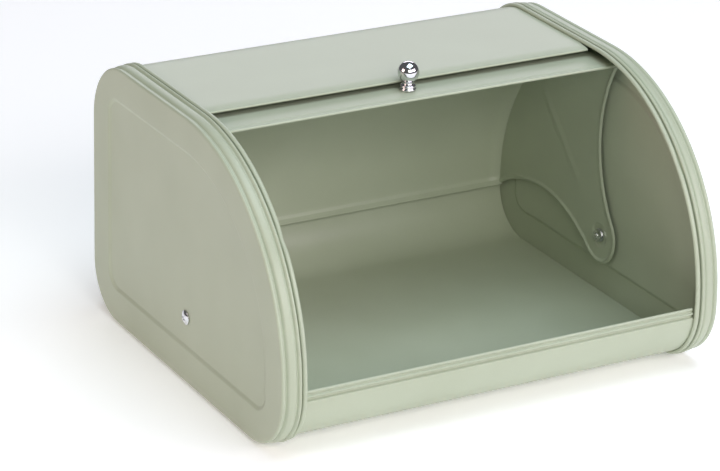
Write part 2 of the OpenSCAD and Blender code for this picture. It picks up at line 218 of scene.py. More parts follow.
# Rounded outline from the crown over the front, the floor and the back to the crown again.
# Returns the points and the outward direction at each
def outlineOf(front, back, bottom, toe, heel, shoulder, stops):
    prow, crown = arcY - front, arcZ + front
    parts = [
        arcPart((arcY, arcZ), front, 90, 180, stops[0]),
        runPart((prow, arcZ), 180, arcZ - bottom - toe, stops[1]),
        arcPart((prow + toe, bottom + toe), toe, 180, 270, stops[2]),
        runPart((prow + toe, bottom), 270, back - heel - prow - toe, stops[3]),
        arcPart((back - heel, bottom + heel), heel, 270, 360, stops[4]),
        runPart((back, bottom + heel), 0, crown - shoulder - bottom - heel, stops[5]),
        arcPart((back - shoulder, crown - shoulder), shoulder, 0, 90, stops[6]),
        runPart((back - shoulder, crown), 90, back - shoulder - arcY, stops[7]),
    ]
    return tuple(np.concatenate(column) for column in zip(*parts))


# Carries a profile round an outline: each point is the outline's point less the depth times
# the outward direction. The profile's points are (distance in from the cap's outer face,
# depth below the outline); side is -1 for the left and 1 for the right
def carryRound(profile, outline, side):
    base, out = outline
    yz = base[None] - profile[:, 1][:, None, None] * out[None]
    x = np.broadcast_to(side * (capX - profile[:, 0])[:, None, None], yz.shape[:2] + (1,))
    return np.concatenate([x, yz], 2)


# sRGB hex to linear light: a power of 2.4 above the short straight foot of the curve
def linear(hexColour):
    values = [int(hexColour[i:i + 2], 16) / 255 for i in (1, 3, 5)]
    return tuple(v / 12.92 if v <= 0.04045 else ((v + 0.055) / 1.055) ** 2.4 for v in values) + (1,)


# Adds a node, sets its sockets or properties by name and links its inputs
def addNode(tree, kind, settings=None, links=None):
    node = tree.nodes.new(kind)
    for key, value in (settings or {}).items():
        if isinstance(key, int) or key in node.inputs:
            node.inputs[key].default_value = value
        else:
            setattr(node, key, value)
    for key, source in (links or {}).items():
        tree.links.new(source, node.inputs[key])
    return node


# Scale of a noise whose grains are about this many millimetres across: one over the size
def grainScale(size):
    return 1 / (size * mm)


# Empty finish: the material, its tree and shader, and the place on the object
def newMaterial(name):
    material = bpy.data.materials.new(name)
    material.use_nodes = True
    tree = material.node_tree
    place = addNode(tree, "ShaderNodeTexCoord").outputs["Object"]
    return material, tree, tree.nodes["Principled BSDF"], place


paint = {
    "deep": "#aab29c",
    "light": "#b1b9a4",
    "ends": (0.45, 0.9),  # values of the pattern that give the deep and the light tone
    "cloudSize": 60,  # slow drift of the shade over a sheet
    "speckSize": 0.7,  # fine unevenness of the tone
    "speckShare": 0.35,
    "peelSize": 1.6,  # dimples of the coat; real ones are near 0.8 mm and wouldn't show
    "peelDepth": 0.012,
    "roughness": (0.36, 0.44),
    "ior": 1.5,
}


# Powder coat on steel, sprayed and baked: an even sage green with a satin gloss, and the
# faint orange peel that softens every reflection
def powderCoat():
    material, tree, shader, place = newMaterial("sagePowderCoat")
    cloud = addNode(tree, "ShaderNodeTexNoise",
                    {"Scale": grainScale(paint["cloudSize"]), "Detail": 2.0}, {"Vector": place})
    speck = addNode(tree, "ShaderNodeTexNoise",
                    {"Scale": grainScale(paint["speckSize"]), "Detail": 3.0}, {"Vector": place})
    both = addNode(tree, "ShaderNodeMath", {"operation": "MULTIPLY_ADD", 1: paint["speckShare"]},
                   {0: speck.outputs["Fac"], 2: cloud.outputs["Fac"]})
    tone = addNode(tree, "ShaderNodeValToRGB", None, {"Fac": both.outputs["Value"]})
    tone.color_ramp.elements[0].position = paint["ends"][0]
    tone.color_ramp.elements[1].position = paint["ends"][1]
    tone.color_ramp.elements[0].color = linear(paint["deep"])
    tone.color_ramp.elements[1].color = linear(paint["light"])
    tree.links.new(tone.outputs["Color"], shader.inputs["Base Color"])
    low, high = paint["roughness"]
    gloss = addNode(tree, "ShaderNodeMapRange", {"To Min": low, "To Max": high},
                    {"Value": cloud.outputs["Fac"]})
    tree.links.new(gloss.outputs["Result"], shader.inputs["Roughness"])
    peel = addNode(tree, "ShaderNodeTexNoise",
                   {"Scale": grainScale(paint["peelSize"]), "Detail": 1.0}, {"Vector": place})
    bump = addNode(tree, "ShaderNodeBump", {"Strength": 1.0, "Distance": paint["peelDepth"] * mm},
                   {"Height": peel.outputs["Fac"]})
    tree.links.new(bump.outputs["Normal"], shader.inputs["Normal"])
    shader.inputs["IOR"].default_value = paint["ior"]
    return material


chromeLook = {
    "colour": "#dcdde0",
    "hairSize": 0.9,  # length of a hairline; real ones are far finer and wouldn't show
    "hairsUp": 9,  # times as close together upwards, so that they lie level
    "roughness": (0.03, 0.11),
    "hairStrength": 0.25,
    "hairDepth": 0.004,
}


# Polished chrome plate: mirror bright and nearly neutral, with the hairlines that
# wiping leaves, which give each highlight a slightly soft edge
def chromePlate():
    material, tree, shader, place = newMaterial("polishedChrome")
    shader.inputs["Metallic"].default_value = 1
    shader.inputs["Base Color"].default_value = linear(chromeLook["colour"])
    stretched = addNode(tree, "ShaderNodeMapping", {"Scale": (1, 1, chromeLook["hairsUp"])},
                        {"Vector": place})
    hairs = addNode(tree, "ShaderNodeTexNoise",
                    {"Scale": grainScale(chromeLook["hairSize"]), "Detail": 4.0},
                    {"Vector": stretched.outputs["Vector"]})
    low, high = chromeLook["roughness"]
    gloss = addNode(tree, "ShaderNodeMapRange", {"To Min": low, "To Max": high},
                    {"Value": hairs.outputs["Fac"]})
    tree.links.new(gloss.outputs["Result"], shader.inputs["Roughness"])
    bump = addNode(tree, "ShaderNodeBump", {"Strength": chromeLook["hairStrength"],
                                            "Distance": chromeLook["hairDepth"] * mm},
                   {"Height": hairs.outputs["Fac"]})
    tree.links.new(bump.outputs["Normal"], shader.inputs["Normal"])
    return material


zincLook = {
    "deep": "#a9adb3",
    "light": "#c9cbcc",
    "bloomSize": 2.2,
    "roughness": (0.22, 0.4),
}


# Bright zinc plate on small steel parts: pale bluish metal, cloudy from the bath
def zincPlate():
    material, tree, shader, place = newMaterial("brightZinc")
    shader.inputs["Metallic"].default_value = 1
    bloom = addNode(tree, "ShaderNodeTexNoise",
                    {"Scale": grainScale(zincLook["bloomSize"]), "Detail": 5.0}, {"Vector": place})
    tone = addNode(tree, "ShaderNodeValToRGB", None, {"Fac": bloom.outputs["Fac"]})
    tone.color_ramp.elements[0].color = linear(zincLook["deep"])
    tone.color_ramp.elements[1].color = linear(zincLook["light"])
    tree.links.new(tone.outputs["Color"], shader.inputs["Base Color"])
    low, high = zincLook["roughness"]
    gloss = addNode(tree, "ShaderNodeMapRange", {"To Min": low, "To Max": high},
                    {"Value": bloom.outputs["Fac"]})
    tree.links.new(gloss.outputs["Result"], shader.inputs["Roughness"])
    return material


nylonLook = {
    "deep": "#e6e1d3",
    "light": "#f1eee4",
    "skinSize": 1.1,  # drawn coarser than the mould's real grain, which wouldn't show
    "skinStrength": 0.3,
    "skinDepth": 0.02,
    "roughness": 0.45,
    "seeThrough": 0.15,
    "seeDepth": 1.5,
}


# Moulded natural nylon: off-white, a little see-through at its edges, with a dull skin
def naturalNylon():
    material, tree, shader, place = newMaterial("mouldedNylon")
    skin = addNode(tree, "ShaderNodeTexNoise",
                   {"Scale": grainScale(nylonLook["skinSize"]), "Detail": 3.0}, {"Vector": place})
    tone = addNode(tree, "ShaderNodeValToRGB", None, {"Fac": skin.outputs["Fac"]})
    tone.color_ramp.elements[0].color = linear(nylonLook["deep"])
    tone.color_ramp.elements[1].color = linear(nylonLook["light"])
    tree.links.new(tone.outputs["Color"], shader.inputs["Base Color"])
    bump = addNode(tree, "ShaderNodeBump", {"Strength": nylonLook["skinStrength"],
                                            "Distance": nylonLook["skinDepth"] * mm},
                   {"Height": skin.outputs["Fac"]})
    tree.links.new(bump.outputs["Normal"], shader.inputs["Normal"])
    shader.inputs["Roughness"].default_value = nylonLook["roughness"]
    shader.inputs["Subsurface Weight"].default_value = nylonLook["seeThrough"]
    shader.inputs["Subsurface Scale"].default_value = nylonLook["seeDepth"] * mm
    return material


rubberLook = {
    "deep": "#26272a",
    "light": "#3c3d3d",
    "skinSize": 0.8,  # drawn coarser than the mould's real grain, which wouldn't show
    "skinStrength": 0.5,
    "skinDepth": 0.05,
    "roughness": 0.82,
}


# Moulded black rubber: matt, dusty grey on its high grains
def mouldedRubber():
    material, tree, shader, place = newMaterial("mattRubber")
    skin = addNode(tree, "ShaderNodeTexNoise",
                   {"Scale": grainScale(rubberLook["skinSize"]), "Detail": 4.0}, {"Vector": place})
    tone = addNode(tree, "ShaderNodeValToRGB", None, {"Fac": skin.outputs["Fac"]})
    tone.color_ramp.elements[0].color = linear(rubberLook["deep"])
    tone.color_ramp.elements[1].color = linear(rubberLook["light"])
    tree.links.new(tone.outputs["Color"], shader.inputs["Base Color"])
    bump = addNode(tree, "ShaderNodeBump", {"Strength": rubberLook["skinStrength"],
                                            "Distance": rubberLook["skinDepth"] * mm},
                   {"Height": skin.outputs["Fac"]})
    tree.links.new(bump.outputs["Normal"], shader.inputs["Normal"])
    shader.inputs["Roughness"].default_value = rubberLook["roughness"]
    return material


coat = powderCoat()
chrome = chromePlate()
zinc = zincPlate()
nylon = naturalNylon()
rubber = mouldedRubber()
print("finishes ready")

cap = {
    "sheet": 0.75,
    # the rounded edge: how far it reaches in from the outer face, and its depth below the
    # outline at the face and at its crest
    "edge": (1.1, 3.4, 1.5),
    # the rest of the rim: a valley, a wide bead, a second valley, a ridge and the flange
    "rimLine": [(1.9, 1.65), (2.5, 2.05), (2.95, 2.6), (3.25, 2.74), (3.55, 2.6), (4.1, 1.9),
                (4.8, 1.3), (5.7, 0.95), (7, 0.7), (8.3, 0.65), (9.1, 0.9), (9.7, 1.45), (10, 1.55),
                (10.3, 1.35), (10.85, 0.5), (11.6, 0.08), (12.2, 0.2), (12.6, 0.7), (12.7, 1.3),
                (12.7, 2.6)],
    "panelDepth": 1.3,
    "panelSlope": 3.5,
    "hole": 2.1,
    "dimple": 0.15,  # how deep the panel dips round the screw
    "dimpleFloor": 4.2,
    "dimpleTop": 7.6,
    "rings": [2.8, 4.2, 5.2, 6.0, 6.8, 7.6, 9],
    "bodyInset": 2.8,  # depth of the body's sheet below the outline
}
# mesh steps on the eight parts of the outline
capStops = [evenStops(steps) for steps in (72, 4, 28, 26, 28, 16, 28, 16)]
cornerRadii = shape["toe"], shape["heel"], shape["shoulder"]
capOutline = outlineOf(shape["front"], boxBack, shape["lift"], *cornerRadii, capStops)
flatBorder = shape["flatBorder"]
corner = shape["panelCorner"]
panelOutline = outlineOf(shape["front"] - shape["frontBorder"], boxBack - flatBorder, flatBorder,
                         corner, corner, corner, capStops)


# Section of the rim: a quarter of an ellipse for the edge, then a smooth line through the
# valleys and crests to the flange that turns down to the body
def rimProfile():
    reach, low, crest = cap["edge"]
    a = np.radians(np.arange(0, 90, 15))
    edge = np.stack([reach * (1 - np.cos(a)), low - (low - crest) * np.sin(a)], 1)
    return np.concatenate([edge, smoothLine([(reach, crest)] + cap["rimLine"], 5)])


# Cap as one pressed sheet: circles round the pivot's hole, where it dips by half a cosine,
# the flat panel, its slope (half a cosine), the flat border between the two outlines, and
# the rim
def makeCap(side, name, node):
    base, out = panelOutline
    inner = base - cap["panelSlope"] * out
    ray = inner - pivot
    ray /= np.linalg.norm(ray, axis=1, keepdims=True)
    rings = np.array([cap["hole"]] + cap["rings"])
    away = np.clip((rings - cap["dimpleFloor"]) / (cap["dimpleTop"] - cap["dimpleFloor"]), 0, 1)
    dimple = cap["dimple"] * (1 + np.cos(np.pi * away)) / 2
    circles = pivot + rings[:, None, None] * ray
    flatShare = np.array([0.3, 0.65])
    flat = circles[-1] + (inner - circles[-1]) * flatShare[:, None, None]
    slopeShare = np.linspace(0, 1, 11)
    slope = base - (cap["panelSlope"] * (1 - slopeShare))[:, None, None] * out
    borderShare = np.array([0.3, 0.6, 0.9])
    rimStart = capOutline[0] - cap["edge"][1] * capOutline[1]
    borderRings = base + (rimStart - base) * borderShare[:, None, None]
    yz = np.concatenate([circles, flat, slope, borderRings])
    depth = cap["panelDepth"]
    sunk = np.concatenate([depth + dimple, np.full(len(flat), depth),
                           depth * (1 + np.cos(np.pi * slopeShare)) / 2, np.zeros(len(borderRings))])
    x = np.broadcast_to(side * (capX - sunk)[:, None, None], yz.shape[:2] + (1,))
    face = np.concatenate([np.concatenate([x, yz], 2), carryRound(rimProfile(), capOutline, side)])
    wall = closedWall(face if side < 0 else face[:, ::-1], cap["sheet"])
    piece = makePiece(name, [(wall, True, True)], coat)
    return seat(piece, "box", "painted_steel", node)


makeCap(-1, "capLeft", "end_cap_left")
makeCap(1, "capRight", "end_cap_right")
print("end caps made")

body = {
    "sheet": 0.7,
    "cutEdge": 0.12,
    "flat": (1, 7, 12.2),  # places of the strip's flat points under the cap's rim
    # the bead beside the mouth, up from under the cap's rim, over and curled back on itself:
    # distance in from the cap's outer face, and depth below the outline
    "bead": [(13.25, 2.8), (13.5, 2.5), (13.6, 1.75), (13.95, 1.0), (14.9, 0.55), (16.0, 0.8),
             (16.6, 1.5), (16.65, 2.3), (16.2, 2.8)],
    "beadFades": (16, 2),  # it fades between these distances ahead of the toe's centre
    "beadReturns": (12, 8),  # and returns from below the shoulder's foot to above it
    "roofLift": 0.5,
    "liftFrom": 40,  # depths below the caps' top between which the roof's lift grows
    "liftTo": 3,
    "roofEdge": 5,
    "roofBevel": 9,
    "roofDrop": 1,
    "hem": 1.55,
    "hemDepth": 5,
    "railTop": 44.5,
    "railHeight": 7.5,
    "slit": 0.9,  # gap between the rail or the roof's bevel and the side strips
    "ventRadius": 1.75,
    "ventRing": 8,
    "ventX": 0.22,  # share of the width
    "ventZ": 0.66,  # share of the height
    "ventSteps": 6,  # mesh steps on half a hole's cell
    "railSteps": 3,  # mesh steps from the toe's start to the rail's foot
    "bendSteps": 8,  # mesh steps from the shoulder's end to the roof's bend
}
stripTo = body["bead"][-1][0]
mouthHalf = capX - stripTo
inset = cap["bodyInset"]
toeR = shape["toe"] - inset
toeY = arcY - shape["front"] + shape["toe"]
railFoot = body["railTop"] - body["railHeight"]
# the rail's foot lies on the toe's arc, at this turn from the level
railTurn = math.degrees(math.asin((shape["lift"] + shape["toe"] - railFoot) / toeR))
railY = toeY - toeR * math.cos(math.radians(railTurn))
roofZ = boxTop - inset + body["roofLift"]
bendY = arcY + body["roofEdge"] + body["roofBevel"]
bendAt = (boxBack - shape["shoulder"] - bendY) / (boxBack - shape["shoulder"] - arcY)
ventZ = body["ventZ"] * boxTop
ventHalf = body["ventRing"] / 4 * np.array([1, math.sqrt(3)])  # half a hole's cell


# Stops of the back's straight, with even rows through the three rows of air holes
def backStops():
    low = shape["lift"] + shape["heel"]
    length = boxTop - shape["shoulder"] - low
    rows = ventZ + ventHalf[1] * np.linspace(-3, 3, 6 * body["ventSteps"] + 1)
    z = np.concatenate([np.linspace(low, rows[0], 8)[:-1], rows,
                        np.linspace(rows[-1], low + length, 4)[1:-1]])
    return (z - low) / length


toeShare = railTurn / 90
toeStops = np.concatenate([toeShare * evenStops(body["railSteps"]),
                           toeShare + (1 - toeShare) * evenStops(30)])
topStops = np.concatenate([bendAt * evenStops(body["bendSteps"]),
                           bendAt + (1 - bendAt) * evenStops(4)])
bodyStops = [evenStops(72), evenStops(4), toeStops, evenStops(16), evenStops(30), backStops(),
             evenStops(30), topStops]
bodyOutline = outlineOf(shape["front"], boxBack, shape["lift"], *cornerRadii, bodyStops)
counts = np.cumsum([0] + [len(stop) for stop in bodyStops])
railAt = counts[2] + body["railSteps"]
roofAt = counts[7] + body["bendSteps"]


# Section of a side strip: flat under the cap's rim, then the bead; the plain one goes
# straight on in as many steps
def stripProfile(beaded):
    start = np.array([[place, inset] for place in body["flat"]])
    bead = smoothLine(body["bead"], 4)
    if not beaded:
        bead = np.stack([np.linspace(bead[0][0], stripTo, len(bead)), np.full(len(bead), inset)], 1)
    return np.concatenate([start, bead])


# Share of the bead's height at each point of the outline: full at the mouth and on top,
# none under the floor and up the back
def beadShare():
    y, z = bodyOutline[0].T
    fadeFrom, fadeTo = body["beadFades"]
    below, above = body["beadReturns"]
    shoulderZ = boxTop - shape["shoulder"]
    low = 1 - ease(y, toeY - fadeFrom, toeY - fadeTo)
    return np.maximum(low, ease(z, shoulderZ - below, shoulderZ + above))


# Columns of the sheet between the strips, with even ones through the air holes
def plainColumns():
    group = body["ventX"] * 2 * capX + ventHalf[0] * np.linspace(-5, 5, 10 * body["ventSteps"] + 1)
    right = np.concatenate([np.linspace(0, group[0], 6)[1:-1], group,
                            np.linspace(group[-1], mouthHalf, 6)[1:]])
    return np.concatenate([-right[::-1], [0], right])


# Pushes the points round each air hole outwards along rays from its centre, so that the
# block of cells in its middle opens into a circle and the cell's border stays put
def openVents(grid):
    x, z = grid[..., 0], grid[..., 2]
    slack, tiny = 1e-3, 1e-6
    inside = np.abs(grid[..., 1] - (boxBack - inset)) < slack
    hole = np.zeros(x.shape, bool)
    turns = np.radians(np.arange(0, 360, 60))
    spots = [(0, 0)] + [(body["ventRing"] * math.cos(a), body["ventRing"] * math.sin(a)) for a in turns]
    newX, newZ = x.copy(), z.copy()
    for sign in (-1, 1):
        for dx, dz in spots:
            u, v = x - sign * body["ventX"] * 2 * capX - dx, z - ventZ - dz
            reach = np.maximum(np.abs(u) / ventHalf[0], np.abs(v) / ventHalf[1])
            inner = 2 * reach  # the middle block is half as wide as the cell
            near = inside & (reach < 1 + slack)
            r = np.maximum(np.hypot(u, v), tiny)
            border = r / np.maximum(reach, tiny)
            t = np.clip(inner - 1, 0, 1)
            new = body["ventRadius"] + t * (border - body["ventRadius"])
            moved = near & (inner > 1 - slack)
            newX = np.where(moved, x - u + u / r * new, newX)
            newZ = np.where(moved, z - v + v / r * new, newZ)
            hole |= near & (inner < 1 - slack)
    grid[..., 0], grid[..., 2] = newX, newZ
    return grid, hole


# Rail in the side view, from the inner end of its hem over the crest and down its steps
def railLine():
    hem = [(2.35, 6), (2.35, 3.5), (2.35, 1.3)]
    crest = [(2.2, 0.45), (1.55, 0), (0.9, 0.35), (0.6, 1.0)]
    steps = [(0.95, 1.7), (1.2, 2.2), (1.0, 2.7), (-0.05, 3.1), (-0.25, 3.5), (-0.05, 3.9), (1.0, 4.3),
             (1.4, 5.0), (1.2, 5.8), (0.05, 6.25), (-0.3, 6.65), (-0.25, 7.0), (0, 7.5)]
    line = smoothLine(hem + crest + steps, 4)
    return np.stack([railY + line[:, 0], body["railTop"] - line[:, 1]], 1)


# Front of the roof in the side view: it curves down as a parabola and is then folded under
# by a half circle
def roofLine():
    r = body["hem"] / 2
    run, drop = body["roofBevel"] - r, body["roofDrop"]
    t = np.array([0, 0.15, 0.3, 0.45, 0.6, 0.75, 0.88, 1])
    top = np.stack([bendY - run * t, roofZ - drop * t ** 2], 1)
    slope = math.atan2(2 * drop, run)
    ahead = np.array([-math.cos(slope), -math.sin(slope)])
    over = np.array([-math.sin(slope), math.cos(slope)])
    a = np.radians(np.linspace(0, 180, 13))[1:, None]
    fold = top[-1] - r * over + r * (np.cos(a) * over + np.sin(a) * ahead)
    under = fold[-1] - body["hemDepth"] * np.outer([0.4, 0.8, 1], ahead)
    return np.concatenate([top, fold, under])


# Sheet that follows a line of the side view across the width. Its first and last points, in
# the given numbers, are narrower by the slit at both sides
def acrossMouth(line, columns, firstNarrow, lastNarrow):
    pull = np.zeros(len(line))
    pull[:firstNarrow] = body["slit"]
    pull[len(line) - lastNarrow:] = body["slit"]
    x = columns[None, :] * (1 - pull[:, None] / mouthHalf)
    yz = np.broadcast_to(line[:, None, :], (len(line), len(columns), 2))
    return np.concatenate([x[..., None], yz], 2)


# Body as one sheet: both side strips run all round, the plain sheet from the rail under
# and up to the roof's bend, and the rail's and the roof's folds continue it
def makeBody():
    points, out = bodyOutline
    share = beadShare()[None, :, None]
    liftShare = ease(points[:, 1:], boxTop - body["liftFrom"], boxTop - body["liftTo"])
    lift = body["roofLift"] * liftShare * out
    left = carryRound(stripProfile(False), bodyOutline, -1) * (1 - share)
    left += carryRound(stripProfile(True), bodyOutline, -1) * share
    left[..., 1:] += lift
    right = (left * [-1, 1, 1])[::-1]
    columns = plainColumns()
    base = points - inset * out + lift
    span = base[railAt:roofAt + 1]
    plain = np.concatenate([np.broadcast_to(columns[None, :, None], (len(span), len(columns), 1)),
                            np.broadcast_to(span[:, None, :], (len(span), len(columns), 2))], 2).copy()
    plain, hole = openVents(plain)
    faces = gridFaces(len(span), len(columns))
    keep = ~hole.reshape(-1)[faces].any(axis=1)
    rail, roof = railLine(), roofLine()
    railSheet = acrossMouth(rail, columns, len(rail) - 1, 0)
    roofSheet = acrossMouth(roof, columns, 0, len(roof) - 1)
    grids = [(left, False, True), (right, False, True), (plain, faces[keep][:, ::-1]),
             (railSheet, gridFaces(len(rail), len(columns))[:, ::-1]),
             (roofSheet, gridFaces(len(roof), len(columns))[:, ::-1])]
    piece = makePiece("bodySheet", grids, coat, closed=False)
    giveThickness(piece, body["sheet"], body["cutEdge"])
    return seat(piece, "box", "painted_steel", "body_shell")


makeBody()
print("body made")

lidHigh = np.array(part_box("lid_sheet")[1]) / mm
lid = {
    "radius": lidHigh[2] - pivot[1],
    "half": lidHigh[0],
    "sheet": 0.8,
    "lip": 96,  # angle from the back up to the front lip
    "rear": -4,
    "bow": 0.6,  # fall of the lip's ends below its middle
    "bowFades": (6, 50),  # distances from the lip between which the fall fades
    "hem": 4.7,
    "curl": (62, 298),  # angles between which the edge's bead is round
    "beadAt": 0.15,
    "lipEdge": (0.92, 0.2, 0.3),  # bead's radius, groove's depth, half the step at the hem's end
    "rearEdge": (0.8, 0, 1.2),
    "arcSteps": 90,
}


# One edge of the lid, from the outer face round the bead (part of a circle) to the end of
# the hem inside: points are (distance from the edge, height over the outer face)
def lidEdge(bead, sunk, step):
    skin, fold, end = lid["sheet"], 2 * lid["sheet"], lid["hem"]
    a = np.radians(np.linspace(*lid["curl"], 21))
    front = np.stack([lid["beadAt"] + bead * np.cos(a), bead * np.sin(a) - skin], 1)
    groove = smoothLine([(5, 0), (3.2, 0), (2.3, -sunk), (1.5, -sunk), tuple(front[0])], 4)[:-1]
    hem = smoothLine([tuple(front[-1]), (1.2, -fold), (2.4, -fold), (end - step, -fold),
                      (end, -(skin + fold) / 2), (end + step, -skin)], 4)[1:]
    return np.concatenate([groove, front, hem])


# Section of the lid: the lip, the inner face, the rear edge and the outer face
def lidSection():
    length = math.radians(lid["lip"] - lid["rear"]) * lid["radius"]
    lip = lidEdge(*lid["lipEdge"])
    rear = lidEdge(*lid["rearEdge"])[::-1] * [-1, 1] + [length, 0]
    arc = np.linspace(rear[-1][0], lip[0][0], lid["arcSteps"])[1:-1]
    inner = np.linspace(lip[-1][0], rear[0][0], lid["arcSteps"])[1:-1]
    outer = np.stack([arc, np.zeros_like(arc)], 1)
    inside = np.stack([inner, np.full_like(inner, -lid["sheet"])], 1)
    return np.concatenate([lip, inside, rear, outer])


# Lid: the section bent round the pivot and carried across the width. A point's radius is
# the lid's radius plus its height, and its angle the lip's less the distance over the
# radius. The lip falls with the square of the distance from its middle
def makeLid():
    section = lidSection()
    x = np.linspace(-lid["half"], lid["half"], 25)
    angle = math.radians(lid["lip"]) - section[:, 0] / lid["radius"]
    fall = lid["bow"] * (1 - ease(section[:, 0:1], *lid["bowFades"])) * (x / lid["half"]) ** 2
    r = lid["radius"] + section[:, 1:] - fall
    grid = np.stack([np.broadcast_to(x[None, :], r.shape), pivot[0] + r * np.cos(angle)[:, None],
                     pivot[1] + r * np.sin(angle)[:, None]], -1)
    # a ladder of faces between opposite points of the section closes each end
    count = len(section)
    pairs = np.stack([np.arange(count // 2), np.arange(count)[::-1][:count // 2]], 1)
    ends = []
    for column in (0, len(x) - 1):
        rungs = pairs * len(x) + column
        ends.append(np.concatenate([rungs[:-1], rungs[1:, ::-1]], 1))
    faces = np.concatenate([gridFaces(count, len(x), True)] + ends)
    piece = makePiece("lidSheet", [(grid, faces)], coat)
    return seat(piece, "lid", "painted_steel", "lid_sheet")


makeLid()
print("lid made")

arm = {
    "plateX": 148.0,  # inner face of the plate
    "sheet": 0.8,
    "cutEdge": 0.12,
    "ear": 19,  # radius of the round end
    "frontTurn": 96,  # radius of the hollow front edge
    "straight": 8,
    "archTurn": 90,
    "frontAt": 143.13,  # directions from the pivot in which the round end stops
    "archAt": -53.13,
    "beadWidth": 3.4,
    "beadSteps": 12,
    "beadHeight": 1.0,
    "ribAt": 46,
    "ribFrom": 42,
    "ribTo": 125,
    "ribHeight": 0.55,
    "ribWidth": 3.2,
    "ribBand": 8,  # columns keep to the rib this far to each side
    "dishFloor": 6.3,
    "dishTop": 8.8,
    "dishDepth": 0.85,
    "hole": 3.05,
    "rings": [4.5, 5.8, 6.4, 6.9, 7.4, 7.9, 8.4, 8.9, 9.6, 11, 13, 15],
}


# Direction from the pivot in which a circle is met at each radius, by the cosine rule
def meets(centre, turn, radius, sign):
    far = np.linalg.norm(centre)
    cosine = (radius ** 2 + far ** 2 - turn ** 2) / (2 * radius * far)
    return math.atan2(centre[1], centre[0]) + sign * np.arccos(np.clip(cosine, -1, 1))


# Height over the plate's inner face: the bead along the free edge (a sine of the distance
# to it), the rib (a bell curve) and the dish round the pivot (half a cosine)
def armRelief(yz, gap):
    r = np.linalg.norm(yz, axis=-1)
    rib = math.radians(arm["ribAt"])
    along = yz[..., 0] * math.cos(rib) + yz[..., 1] * math.sin(rib)
    across = yz[..., 1] * math.cos(rib) - yz[..., 0] * math.sin(rib)
    past = np.maximum(np.maximum(arm["ribFrom"] - along, along - arm["ribTo"]), 0)
    bell = arm["ribHeight"] * np.exp(-(across ** 2 + past ** 2) / arm["ribWidth"] ** 2)
    down = np.clip((r - arm["dishFloor"]) / (arm["dishTop"] - arm["dishFloor"]), 0, 1)
    roll = arm["beadHeight"] * np.sin(np.pi * np.clip(gap / arm["beadWidth"], 0, 1))
    return bell + roll - arm["dishDepth"] * (1 + np.cos(np.pi * down)) / 2


# Arm on circles round the pivot. In the round end they go all the way round; further out
# each runs from the arch's edge to the hollow front edge, and the columns keep their
# distance from the nearest edge or from the rib. The edges' angles come from meets()
def makeArm(side, name, node):
    ear = arm["ear"]
    frontAt, archAt, ribAt = (math.radians(arm[key]) for key in ("frontAt", "archAt", "ribAt"))
    frontDir = np.array([math.cos(frontAt), math.sin(frontAt)])
    archDir = np.array([math.cos(archAt), math.sin(archAt)])
    ahead = np.array([-archDir[1], archDir[0]])
    frontC = (ear + arm["frontTurn"]) * frontDir
    archC = (ear + arm["archTurn"]) * archDir + arm["straight"] * ahead

    # Distance from each point to the free edge, taken to the nearest of its parts
    def edgeGap(yz, inEar):
        front = np.linalg.norm(yz - frontC, axis=-1) - arm["frontTurn"]
        arch = np.linalg.norm(yz - archC, axis=-1) - arm["archTurn"]
        straight = ear - yz @ archDir
        back = np.where(yz @ ahead > arm["straight"], arch, straight)
        return np.where(inEar, ear - np.linalg.norm(yz, axis=-1), np.minimum(front, back))

    lidIn = lid["radius"] - lid["sheet"]
    # rows lie close together where the edges leave the round end
    run = np.concatenate([np.arange(0, 14, 0.6), np.arange(14, 30, 1.2)])
    r = np.hypot(ear, run)
    r = np.concatenate([r, np.linspace(r[-1], lidIn, 50)[1:]])[:, None]
    archEdge = np.where(r <= math.hypot(ear, arm["straight"]),
                        archAt + np.arctan(np.sqrt(np.maximum(r ** 2 - ear ** 2, 0)) / ear),
                        meets(archC, arm["archTurn"], r, 1))
    frontEdge = meets(frontC, arm["frontTurn"], r, -1)
    near = np.concatenate([np.linspace(0, arm["beadWidth"], arm["beadSteps"]), [arm["beadWidth"] + 1]])
    t = np.linspace(0, 1, 10)[1:-1]
    beside = np.linspace(-arm["ribBand"], arm["ribBand"], 23)
    # columns: beside the arch, between, beside the rib, between, beside the front edge
    low, high = archEdge + near[-1] / r, frontEdge - near[-1] / r
    ribLow, ribHigh = ribAt + beside[0] / r, ribAt + beside[-1] / r
    angle = np.concatenate([archEdge + near / r, low + (ribLow - low) * t, ribAt + beside / r,
                            ribHigh + (high - ribHigh) * t, frontEdge - near[::-1] / r], 1)
    blade = r[..., None] * np.stack([np.cos(angle), np.sin(angle)], -1)
    beadRings = np.linspace(ear - arm["beadWidth"], ear, arm["beadSteps"])
    ringR = np.concatenate([[arm["hole"]], arm["rings"], beadRings])[:, None]
    around = np.concatenate([angle[0], np.linspace(frontAt, archAt + 2 * math.pi, 66)[1:-1]])
    rings = ringR[..., None] * np.stack([np.cos(around), np.sin(around)], -1)
    inEar = np.arange(len(around)) >= angle.shape[1]
    sheets = []
    for yz, gap in ((blade, edgeGap(blade, False)), (rings, edgeGap(rings, inEar))):
        x = side * (arm["plateX"] - armRelief(yz, gap))
        sheets.append(np.concatenate([x[..., None], pivot + yz], -1))
    piece = makePiece(name, [(sheets[0], False, False), (sheets[1], False, True)], coat,
                      closed=False, flip=side < 0)
    giveThickness(piece, arm["sheet"], arm["cutEdge"])
    return seat(piece, "lid", "painted_steel", node)


makeArm(-1, "armLeft", "lid_arm_left")
makeArm(1, "armRight", "lid_arm_right")
print("arms made")

